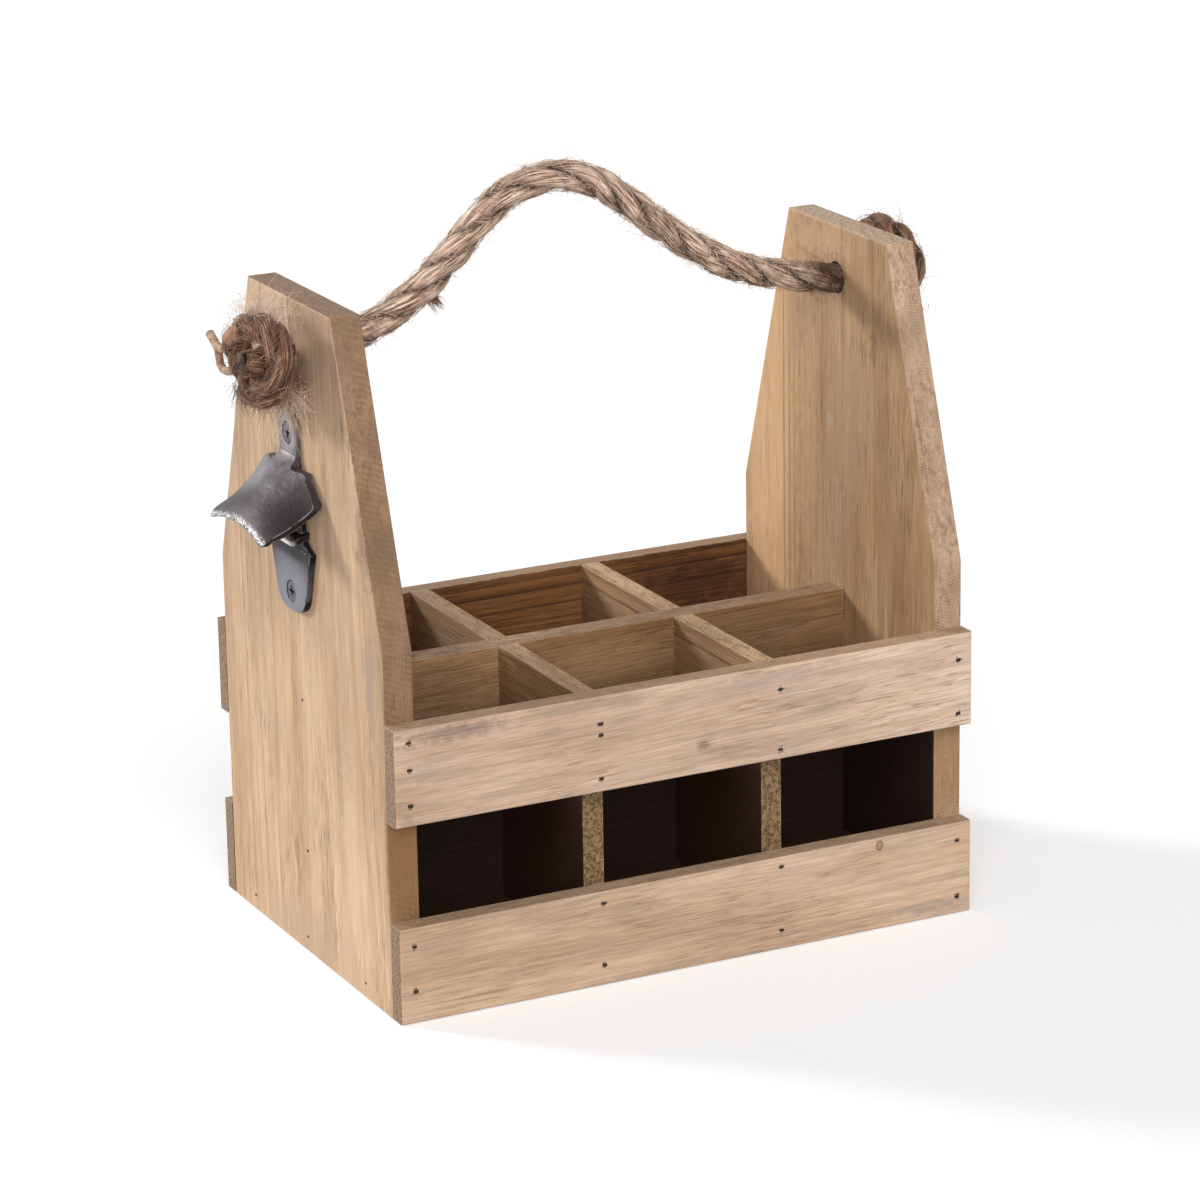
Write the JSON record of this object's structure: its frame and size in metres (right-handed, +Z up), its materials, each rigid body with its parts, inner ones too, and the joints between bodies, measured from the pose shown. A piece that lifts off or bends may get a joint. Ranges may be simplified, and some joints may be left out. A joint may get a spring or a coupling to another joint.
{
  "type": "bottle caddy",
  "caption": "Nailed wooden caddy with a cell for each bottle, tapered end boards, a knotted rope handle and a wall bottle opener screwed to one end.",
  "frame": {"origin": "centre of the flat underside, on the surface that the caddy stands on", "axes": "+X along the caddy from the opener's end board to the plain one, -Y out of the front, +Z up"},
  "size_m": [0.3172, 0.179, 0.3177],
  "materials": {
    "end_board_wood": "thin honey-brown stain on sanded softwood, matt, grey-brown weathering",
    "slat_wood": "thin honey-brown stain on sanded softwood, matt, worn pale arrises",
    "inner_wood": "sawn softwood with a darker brown stain, matt",
    "opener_iron": "dark pewter-grey cast iron, lightly hammered, worn bright at its edges",
    "screw_steel": "darkened steel, satin",
    "brad_steel": "dulled steel, sunk below the wood",
    "jute": "three-strand laid jute, matt and hairy"
  },
  "bodies": {
    "caddy": {"end_board_left": "end_board_wood", "end_board_right": "end_board_wood", "front_slat_lower": "slat_wood", "front_slat_upper": "slat_wood", "back_slat_lower": "slat_wood", "back_slat_upper": "slat_wood", "bottom_board": "inner_wood", "long_divider": "inner_wood", "cross_divider_front_left": "inner_wood", "cross_divider_front_right": "inner_wood", "cross_divider_back_left": "inner_wood", "cross_divider_back_right": "inner_wood", "bottle_opener": "opener_iron", "opener_screws": "screw_steel", "front_lower_brads": "brad_steel", "front_upper_brads": "brad_steel", "back_lower_brads": "brad_steel", "back_upper_brads": "brad_steel", "left_end_brads": "brad_steel", "right_end_brads": "brad_steel"},
    "rope_handle": {"rope_span": "jute", "rope_knot_left": "jute", "rope_knot_right": "jute"}
  },
  "joints": [
    {"name": "handle_swing", "type": "hinge", "parent": "caddy", "child": "rope_handle", "pos_m": [0, 0, 0.254], "axis": [1, 0, 0], "range_deg": [-90, 90]}
  ]
}
